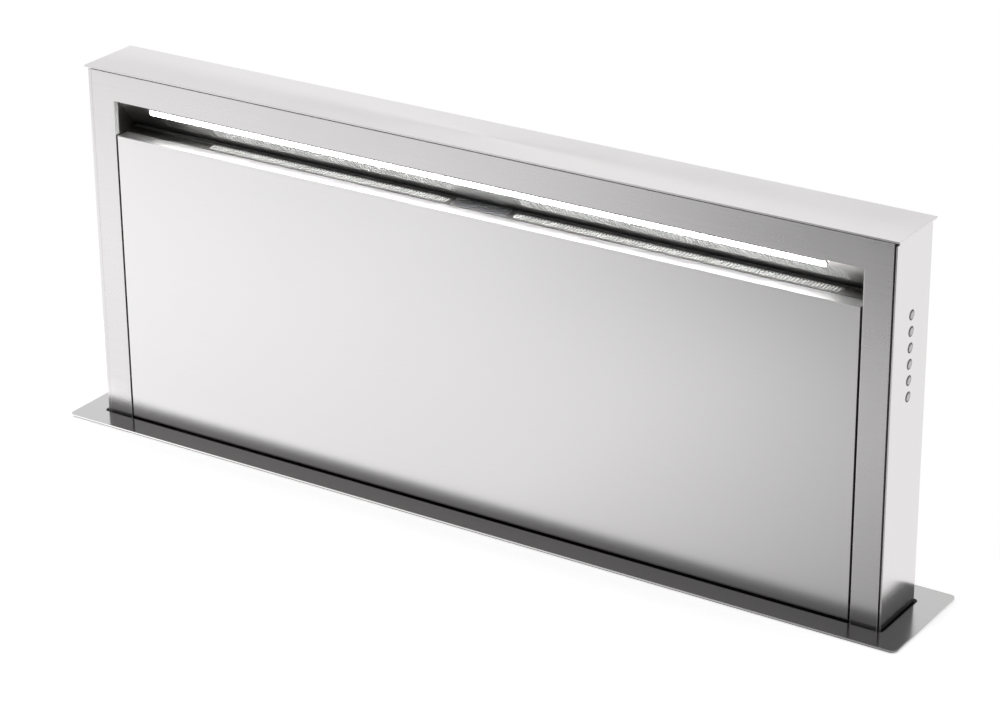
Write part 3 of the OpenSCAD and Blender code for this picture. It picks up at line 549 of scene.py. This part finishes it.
def add_screw(mesh, place, out, radius, height):
    """A domed head with a round recess, standing on place along out."""
    turn = Matrix.Translation(place) @ out.to_track_quat("Z", "Y").to_matrix().to_4x4()
    dome = [(0, 0), (radius, 0), (radius, height * 0.35), (radius * 0.86, height * 0.75),
            (radius * 0.5, height), (radius * 0.42, height), (radius * 0.3, height * 0.5), (0, height * 0.5)]
    add_lathe(mesh, dome, turn, 20)


# Suction slot
def face_frame(end):
    """Frame on a trough face: X along the width, Y up the face from the fold, and Z square to it, which
    points into the slot on the upper face and out of it on the lower one."""
    up_face = (end - valley).normalized()
    across = Vector((1, 0, 0))
    out = across.cross(up_face)
    return Matrix.Translation(valley) @ Matrix((across, up_face, out)).transposed().to_4x4()


def filter_mesh(name, node):
    """Flat upright bars on a backing felt in a plain rim, in the space of the filter's solid."""
    low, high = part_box(node)
    x0, x1 = low.x + window_rim, high.x - window_rim
    pitch, bar, front, back = 3.25 * mm, 1.9 * mm, 0.3 * mm, 2.5 * mm
    upper_felt, lower_felt = 0.7 * mm, 1.9 * mm
    foot_rim, head_rim = 2 * mm, 0.6 * mm
    upper = (upper_end, upper_window, -1, upper_felt, x0 + window_shift, x1)
    lower = (lower_end, lower_window, 1, lower_felt, x0, x1 - window_shift)
    mesh = bmesh.new()
    for end, (near, far), side, felt, left, right in (upper, lower):
        turn = face_frame(end)
        for step in range(int((right - left) / pitch)):
            x = left + (step + 0.5) * pitch - bar / 2
            add_block(mesh, (x, near, side * front), (x + bar, far, side * felt), turn)
        add_block(mesh, (left, near, side * felt), (right, far, side * back), turn)
        for y0, y1 in ((near - foot_rim, near), (far, far + head_rim)):
            add_block(mesh, (left, y0, side * front), (right, y1, side * back), turn)
        for a, b in ((left - window_rim, left), (right, right + window_rim)):
            add_block(mesh, (a, near, side * front), (b, far, side * back), turn)
    piece = new_piece(name, mesh, "mesh", "riser")
    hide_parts(node)


def build_filters():
    """The two filters, in place of the slotted plates of the frame."""
    filter_mesh("filter_screen_left", "filter_left")
    filter_mesh("filter_screen_right", "filter_right")


def build_blank_ends():
    """Plain plates over the left ends of the two left windows, and rims along the upper windows."""
    front, back, rim = 0.15 * mm, 0.3 * mm, 5 * mm
    upper_reach, lower_reach = 64 * mm, 58 * mm
    upper, lower = face_frame(upper_end), face_frame(lower_end)
    plates = bmesh.new()
    near, far = upper_window
    for node in ("filter_left", "filter_right"):
        low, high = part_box(node)
        left, right = low.x + window_rim + window_shift, high.x - window_rim
        add_block(plates, (left, far - rim, -back), (right, far, -front), upper)
    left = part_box("filter_left")[0].x + window_rim
    add_block(plates, (left + window_shift, near, -back), (left + upper_reach, far - rim, -front), upper)
    near, far = lower_window
    add_block(plates, (left, near, front), (left + lower_reach, far, back), lower)
    new_piece("window_plates", plates, "trough", "riser")


def build_fold_shade_strip():
    """Black strip along the fold of the trough, on its lower face, set where the fold is in shade: a dark
    piece that paints that shade.
    """
    inset, past_fold, reach, proud, sunk = 1.5 * mm, 0.85 * mm, 4.2 * mm, 0.3 * mm, 0.2 * mm
    end = trough_x - inset
    seal = bmesh.new()
    # The black strip stands in for the shade in the fold of the trough.
    add_block(seal, (-end, -past_fold, -proud), (end, reach, sunk), face_frame(lower_end))
    new_piece("fold_shade_strip", seal, "foam", "riser")


def build_slot_trims():
    """Matt strips that line the two ends of the suction slot."""
    inset, thick = 1 * mm, 0.3 * mm
    end = trough_x - inset
    front, back = front_y + 0.1 * mm, front_y + 5 * mm
    foot, head = panel_top + 0.5 * mm, slot_top - 0.3 * mm
    trims = bmesh.new()
    for side in (-1, 1):
        add_block(trims, (side * end, front, foot), (side * (end - thick), back, head))
    new_piece("slot_trims", trims, "mesh", "riser")


def build_left_seam_cover():
    """Narrow steel strip over the joint at the riser's left front edge."""
    sheet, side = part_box("front_frame"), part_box("riser_left_side")
    inset, overlap, proud, deep = 0.1 * mm, 0.3 * mm, 0.06 * mm, 0.8 * mm
    cover = bmesh.new()
    low = (side[0].x + inset, front_y - proud, sheet[0].z)
    add_block(cover, low, (sheet[0].x + overlap, front_y + deep, sheet[1].z))
    new_piece("left_seam_cover", cover, "front", "riser")


def build_trough_ribs():
    """Pressed upright ribs on the lower face of the trough, between the windows."""
    pitch, rib, height, sunk = 2.3 * mm, 1.1 * mm, 0.9 * mm, 0.01 * mm
    near, far, margin = 3 * mm, 15 * mm, 4 * mm
    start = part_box("filter_left")[1].x - window_rim
    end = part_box("filter_right")[0].x + window_rim - margin
    ribs = bmesh.new()
    for step in range(int((end - start) / pitch)):
        x = start + step * pitch
        add_block(ribs, (x, near, -height), (x + rib, far, sunk), face_frame(lower_end))
    new_piece("trough_ribs", ribs, "rolled", "riser")


# Buttons
def button_cap(count, turn, cap_r, back, flange, face):
    """Metal cap with a chamfer and a shallow dish, on a thinner stem."""
    stem_r, hidden, chamfer = 2 * mm, 2 * mm, 0.35 * mm
    dish_r, dish = 1.2 * mm, 0.2 * mm
    cap = bmesh.new()
    add_lathe(cap, [(0, back), (stem_r, back), (stem_r, flange - hidden), (cap_r, flange - hidden),
                    (cap_r, face - chamfer), (cap_r - chamfer, face), (cap_r - 1.0 * mm, face - 0.05 * mm),
                    (dish_r, face - dish), (0, face - 0.22 * mm)], turn)
    piece = new_piece(f"button_cap_{count}", cap, "cap", f"button_{count}")
    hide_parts(f"button_{count}")


def button_sleeve(count, turn, cap_r, flange, face):
    """Dark sleeve round a cap, with a flange behind the side sheet."""
    flange_r, outer_r, inner_r = 5.4 * mm, 4.3 * mm, cap_r + 0.02 * mm
    back, chamfer, mouth = flange - 1.9 * mm, 0.2 * mm, face - 0.3 * mm
    sleeve = bmesh.new()
    add_ring(sleeve, [(inner_r, back), (flange_r, back), (flange_r, flange), (outer_r, flange),
                      (outer_r, mouth - chamfer), (outer_r - chamfer, mouth), (inner_r, mouth)], turn)
    new_piece(f"button_sleeve_{count}", sleeve, "grey", f"button_{count}")


def build_buttons():
    """Six caps in their sleeves, whose flanges lie just behind the side sheet."""
    side_sheet, gap, cap_r = 1.2 * mm, 0.3 * mm, 3.4 * mm
    flange = side_x - side_sheet - gap
    for count in BUTTONS:
        low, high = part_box(f"button_{count}")
        centre = (low + high) / 2
        turn = Matrix.Translation((0, centre.y, centre.z)) @ Matrix.Rotation(math.pi / 2, 4, "Y")
        button_cap(count, turn, cap_r, low.x, flange, high.x)
        button_sleeve(count, turn, cap_r, flange, high.x)


# Housing, fan and controls
def build_housing_rivets():
    """Rivets down the four corners of the housing."""
    inset, side_y, rows = 8 * mm, 32 * mm, 7
    top, low = housing_high.z - 30 * mm, housing_low.z + 20 * mm
    head = (3 * mm, 1.2 * mm)
    rivets = bmesh.new()
    for row in range(rows):
        z = low + (top - low) * row / (rows - 1)
        for side in (-1, 1):
            x = side * (housing_high.x - inset)
            add_screw(rivets, Vector((x, housing_low.y, z)), FRONT, *head)
            add_screw(rivets, Vector((x, -housing_low.y, z)), BACK, *head)
            for y in (-side_y, side_y):
                place = Vector((side * housing_high.x, y, z))
                add_screw(rivets, place, Vector((side, 0, 0)), *head)
    new_piece("housing_rivets", rivets, "rolled", "root")


def add_motor_screws(screws, low, high, face_y):
    """Four screws through the flange of the fan motor."""
    centre, flange = (low + high) / 2, 3 * mm
    bolt_circle = (high.x - low.x) / 2 - 7 * mm
    for turn in range(4):
        angle = math.radians(45 + 90 * turn)
        place = Vector((centre.x + bolt_circle * math.cos(angle), face_y - flange,
                        centre.z + bolt_circle * math.sin(angle)))
        add_screw(screws, place, FRONT, 3.6 * mm, 2.4 * mm)


def add_cover_screws(screws, centre, face_y):
    """Screws on the duct's edges and round the spiral, in millimetres and degrees from the fan's axis."""
    spiral_start, spiral_growth = 94, 55
    first, step_angle, count = 105, 27, 10
    spots = [(-20, 149), (-95, 149), (-170, 149), (-135, 3), (-195, 3)]
    for step in range(count):
        angle = first + step_angle * step
        radius = spiral_start + spiral_growth * angle / 360
        spots.append((-radius * math.sin(math.radians(angle)), radius * math.cos(math.radians(angle))))
    for x, z in spots:
        place = Vector((centre.x + x * mm, face_y, centre.z + z * mm))
        add_screw(screws, place, FRONT, 2.6 * mm, 1.6 * mm)


def build_fan_screws():
    """Screws of the motor flange, the scroll cover and the plate of the spigot."""
    cover_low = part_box("scroll_cover")[0]
    motor_low, motor_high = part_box("fan_motor")
    plate_low, plate_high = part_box("outlet_collar")
    plate, inset = 2 * mm, 8 * mm
    screws = bmesh.new()
    add_motor_screws(screws, motor_low, motor_high, cover_low.y)
    add_cover_screws(screws, (motor_low + motor_high) / 2, cover_low.y)
    for y in (plate_low.y + inset, plate_high.y - inset):
        for z in (plate_low.z + inset, plate_high.z - inset):
            place = Vector((cover_low.x - plate, y, z))
            add_screw(screws, place, Vector((-1, 0, 0)), 2.8 * mm, 1.8 * mm)
    new_piece("fan_screws", screws, "machined", "root")


def build_motor_details():
    """End cap and spokes of the fan motor."""
    low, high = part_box("fan_motor")
    centre = (low + high) / 2
    cap_r, shoulder_r, dish_r = 17 * mm, 15 * mm, 6 * mm
    spokes, spoke_start, spoke_end, spoke_half, spoke_h = 12, 22 * mm, 39 * mm, 2 * mm, 0.8 * mm
    turn = Matrix.Translation((centre.x, low.y, centre.z)) @ Matrix.Rotation(math.pi / 2, 4, "X")
    cap = bmesh.new()
    add_lathe(cap, [(0, 0), (cap_r, 0), (cap_r, 1.5 * mm), (shoulder_r, 3 * mm), (dish_r, 3 * mm),
                    (dish_r - 1 * mm, 2 * mm), (0, 2 * mm)], turn)
    for step in range(spokes):
        spoke = turn @ Matrix.Rotation(math.radians(360 / spokes * step), 4, "Z")
        add_block(cap, (spoke_start, -spoke_half, 0), (spoke_end, spoke_half, spoke_h), spoke)
    new_piece("fan_motor_end", cap, "black", "root")


def build_spigot_bead():
    """Rolled bead near the free end of the spigot, which holds the hose clip."""
    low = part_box("outlet_collar")[0]
    pin_low, pin_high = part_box("damper_pin")
    centre = (pin_low + pin_high) / 2
    radius, sunk, height, from_end, half_width, steps = 74.5 * mm, 0.2 * mm, 1.4 * mm, 9 * mm, 2 * mm, 8
    turn = Matrix.Translation((low.x, centre.y, centre.z)) @ Matrix.Rotation(math.pi / 2, 4, "Y")
    angles = [math.pi * step / steps for step in range(steps + 1)]
    section = [(radius - sunk + height * math.sin(a), from_end - half_width * math.cos(a)) for a in angles]
    bead = bmesh.new()
    add_ring(bead, section, turn, 64)
    new_piece("spigot_bead", bead, "zinc", "root")


def build_control_details():
    """Cover screws and louvres of the control box."""
    low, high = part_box("control_cover")
    inset = 7 * mm
    screws = bmesh.new()
    for x in (low.x + inset, high.x - inset):
        for z in (low.z + inset, high.z - inset):
            add_screw(screws, Vector((x, low.y, z)), FRONT, 3 * mm, 1.8 * mm)
    new_piece("control_screws", screws, "machined", "root")
    columns, rows, first_x, first_z = 2, 7, 38 * mm, 36 * mm
    column_pitch, row_pitch, length, half = 62 * mm, 11 * mm, 42 * mm, 3 * mm
    proud, sunk, tilt = 0.9 * mm, 0.5 * mm, math.radians(-16)
    louvres = bmesh.new()
    for column in range(columns):
        for row in range(rows):
            x = low.x + first_x + column_pitch * column
            z = low.z + first_z + row_pitch * row
            turn = Matrix.Translation((x, low.y, z)) @ Matrix.Rotation(tilt, 4, "X")
            add_block(louvres, (0, -proud, -half), (length, sunk, half), turn)
    new_piece("control_louvres", louvres, "zinc", "root")


# Clamps and lift
def build_clamp_details():
    """Knurled grips on the clamp screws and two screws in each clamp foot."""
    low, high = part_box("clamp_screws")
    screw_inset, ridges = 9 * mm, 20
    ridge_low, ridge_high = (4.6 * mm, -0.45 * mm, 0.3 * mm), (5.5 * mm, 0.45 * mm, 3.7 * mm)
    foot_sheet, foot_half, foot_height = 2 * mm, 8 * mm, 9 * mm
    x, y = high.x - screw_inset, high.y - screw_inset
    grips = bmesh.new()
    screws = bmesh.new()
    for side_x in (-1, 1):
        for side_y in (-1, 1):
            turn = Matrix.Translation((side_x * x, side_y * y, low.z))
            for step in range(ridges):
                ridge = turn @ Matrix.Rotation(math.radians(360 / ridges * step), 4, "Z")
                add_block(grips, ridge_low, ridge_high, ridge)
            for offset in (-foot_half, foot_half):
                place = Vector((side_x * x + offset, -side_y * (housing_low.y - foot_sheet),
                                low.z + foot_height))
                add_screw(screws, place, Vector((0, side_y, 0)), 3 * mm, 1.8 * mm)
    new_piece("clamp_grips", grips, "machined", "root")
    new_piece("clamp_foot_screws", screws, "machined", "root")


def build_drive_details():
    """Cover screws of the lift gearbox, and a clamping ring round its motor."""
    low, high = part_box("lift_gearbox")
    inset, head = 5 * mm, (2.4 * mm, 1.6 * mm)
    screws = bmesh.new()
    for x in (low.x + inset, high.x - inset):
        for z in (low.z + inset, high.z - inset):
            add_screw(screws, Vector((x, low.y, z)), FRONT, *head)
            add_screw(screws, Vector((x, high.y, z)), BACK, *head)
    new_piece("gearbox_screws", screws, "machined", "riser")
    low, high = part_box("lift_motor")
    centre, radius = (low + high) / 2, (high.x - low.x) / 2
    inner, outer, foot, top = radius - 0.1 * mm, radius + 1.2 * mm, 6 * mm, 12 * mm
    ring = bmesh.new()
    turn = Matrix.Translation((centre.x, centre.y, low.z))
    add_ring(ring, [(inner, foot), (outer, foot), (outer, top), (inner, top)], turn, 48)
    new_piece("lift_motor_band", ring, "zinc", "riser")


# Stage, with the half sizes of the hole in the card and of the cut-out in the worktop
CARD_HOLE = (439.5 * mm, 57.5 * mm)
WORKTOP_HOLE = (431 * mm, 49 * mm)


def around(low, high, hole):
    """The four rectangles between an outer rectangle and a hole in its middle, given by its half sizes."""
    (x0, y0), (x1, y1), (hx, hy) = low, high, hole
    return ((x0, y0), (x1, -hy)), ((x0, hy), (x1, y1)), ((x0, -hy), (-hx, hy)), ((hx, -hy), (x1, hy))


def worktop_paint():
    """White for the camera where the worktop is lit, with the faint shadow of the vent on it."""
    colour, lift = (0.82, 0.82, 0.82, 1), 0.38
    material = bpy.data.materials.new("worktop_white")
    tree = empty_tree(material)
    seen = make(tree, "ShaderNodeLightPath").outputs["Is Camera Ray"]
    seen_top = calc(tree, "MULTIPLY", faces_up(tree), seen)
    white = make(tree, "ShaderNodeEmission", {"Strength": calc(tree, "MULTIPLY", seen_top, lift)})
    pale = make(tree, "ShaderNodeBsdfDiffuse", {"Color": colour})
    both = make(tree, "ShaderNodeAddShader", {0: pale.outputs[0], 1: white.outputs[0]})
    make(tree, "ShaderNodeOutputMaterial", {"Surface": both.outputs[0]})
    return material


def build_worktop():
    """Slab with the cut-out for the vent."""
    low, high, bottom, top = (-0.60, -0.60), (0.62, 0.14), -38 * mm, -0.2 * mm
    mesh = bmesh.new()
    for near, far in around(low, high, WORKTOP_HOLE):
        add_block(mesh, (*near, bottom), (*far, top))
    slab = add_object("worktop", mesh)
    slab.data.materials.append(worktop_paint())
    slab.visible_shadow = False


def card_glow():
    """What the steel sees of the worktop: pale at the left, behind the vent and next to the flange, and
    darker to the right and far in front."""
    middle, left_slope, right_slope, brightest, faintest = 0.82, -0.33, -1.1, 1.15, 0.1
    left_end, right_end, near_reach, next_to_flange, behind = -0.4, 0.4, 0.45, -0.076, 0.92
    material = bpy.data.materials.new("card_glow")
    tree = empty_tree(material)
    face = make(tree, "ShaderNodeNewGeometry").outputs
    x, y = along(tree, face["Position"], "X"), along(tree, face["Position"], "Y")
    left = calc(tree, "MULTIPLY_ADD", x, left_slope, middle)
    right = calc(tree, "MULTIPLY_ADD", x, right_slope, middle)
    across = calc(tree, "MINIMUM", calc(tree, "MINIMUM", left, right), brightest)
    ahead = calc(tree, "MULTIPLY_ADD", y, -1.0, -near_reach)
    rate = ramp(tree, x, 0.47, 2.2, start=left_end, end=0.0)
    loss = calc(tree, "MULTIPLY", calc(tree, "MAXIMUM", ahead, 0.0), rate)
    product = calc(tree, "MULTIPLY", across, calc(tree, "SUBTRACT", 1.0, loss))
    dimmed = calc(tree, "MAXIMUM", product, faintest)
    nearest = ramp(tree, x, 1.9, 1.1, start=left_end, end=right_end)
    foot = ramp(tree, y, 1.0, nearest, start=next_to_flange, end=-CARD_HOLE[1])
    level = ramp(tree, y, calc(tree, "MULTIPLY", dimmed, foot), behind, start=-0.06, end=0.02)
    glow = make(tree, "ShaderNodeEmission", {"Strength": level})
    clear = make(tree, "ShaderNodeBsdfTransparent")
    sides = {"Fac": face["Backfacing"], 1: glow.outputs[0], 2: clear.outputs[0]}
    both = make(tree, "ShaderNodeMixShader", sides)
    make(tree, "ShaderNodeOutputMaterial", {"Surface": both.outputs[0]})
    return material


def build_card():
    """Card on the worktop, round the flange, that only the steel's reflections show."""
    reach, height = 2.5, 0.1 * mm
    mesh = bmesh.new()
    for (x0, y0), (x1, y1) in around((-reach, -reach), (reach, reach), CARD_HOLE):
        corners = ((x0, y0), (x1, y0), (x1, y1), (x0, y1))
        mesh.faces.new([mesh.verts.new((x, y, height)) for x, y in corners])
    card = add_object("reflecting_card", mesh)
    card.data.materials.append(card_glow())
    card.visible_camera = False
    card.visible_diffuse = False
    card.visible_shadow = False
    card.visible_transmission = False


def build_world():
    """White for the camera, a plain level for light, and for the steel a sky bright at the back left."""
    plain, ground, bright_side = 0.75, 0.85, (-0.5, 0.77, 0.4)
    world = bpy.data.worlds.new("studio")
    bpy.context.scene.world = world
    tree = empty_tree(world)
    ray = make(tree, "ShaderNodeLightPath").outputs
    way = make(tree, "ShaderNodeTexCoord").outputs["Generated"]
    toward_left = vector_calc(tree, "DOT_PRODUCT", way, bright_side)
    height = along(tree, way, "Z")
    wall = ramp(tree, along(tree, way, "X"), 0.24, 0.08, start=-0.60, end=-0.38)
    window = ramp(tree, height, 1.0, 0.75, start=0.41, end=0.48)
    sky = ramp(tree, toward_left, wall, window, start=0.62, end=0.9)
    mirrored = ramp(tree, calc(tree, "LESS_THAN", height, 0.0), sky, ground)
    lit = ramp(tree, ray["Is Glossy Ray"], plain, mirrored)
    level = ramp(tree, ray["Is Camera Ray"], lit, 1.0)
    back = make(tree, "ShaderNodeBackground", {"Color": (1, 1, 1, 1), "Strength": level})
    make(tree, "ShaderNodeOutputWorld", {"Surface": back.outputs[0]})


def soft_lamp(name, place, size, power):
    """A square lamp that looks at the riser and isn't mirrored in the steel."""
    target = Vector((0, 0, 0.1))
    light = bpy.data.lights.new(name, "AREA")
    light.size = size
    light.energy = power
    lamp = bpy.data.objects.new(name, light)
    lamp.location = place
    lamp.rotation_euler = (target - Vector(place)).to_track_quat("-Z", "Y").to_euler()
    lamp.visible_glossy = False
    bpy.context.scene.collection.objects.link(lamp)


def build_camera():
    """Solved from the corners of the lid, the riser, the panel and the flange."""
    place, lens = (1.4261, -2.1508, 1.2776), 114.45
    yaw, pitch, roll = 0.58016, 0.41463, -0.00777
    back = Vector((math.sin(yaw) * math.cos(pitch), -math.cos(yaw) * math.cos(pitch), math.sin(pitch)))
    level = Vector((math.cos(yaw), math.sin(yaw), 0))
    up = back.cross(level)
    right = level * math.cos(roll) + up * math.sin(roll)
    top = up * math.cos(roll) - level * math.sin(roll)
    data = bpy.data.cameras.new("camera")
    data.sensor_width = 36.0
    data.lens = lens
    camera = bpy.data.objects.new("camera", data)
    camera.matrix_world = Matrix.Translation(place) @ Matrix((right, top, back)).transposed().to_4x4()
    bpy.context.scene.collection.objects.link(camera)
    bpy.context.scene.camera = camera


finish_nodes()
build_filters()
build_blank_ends()
build_fold_shade_strip()
build_trough_ribs()
build_slot_trims()
build_left_seam_cover()
build_buttons()
build_housing_rivets()
build_fan_screws()
build_motor_details()
build_spigot_bead()
build_control_details()
build_clamp_details()
build_drive_details()

build_worktop()
build_card()
build_world()
soft_lamp("key_lamp", (-1.6, -1.8, 2.2), 1.8, 22)
soft_lamp("fill_lamp", (2.2, -0.6, 1.4), 1.6, 12)
build_camera()
bpy.context.scene.view_settings.view_transform = "Standard"
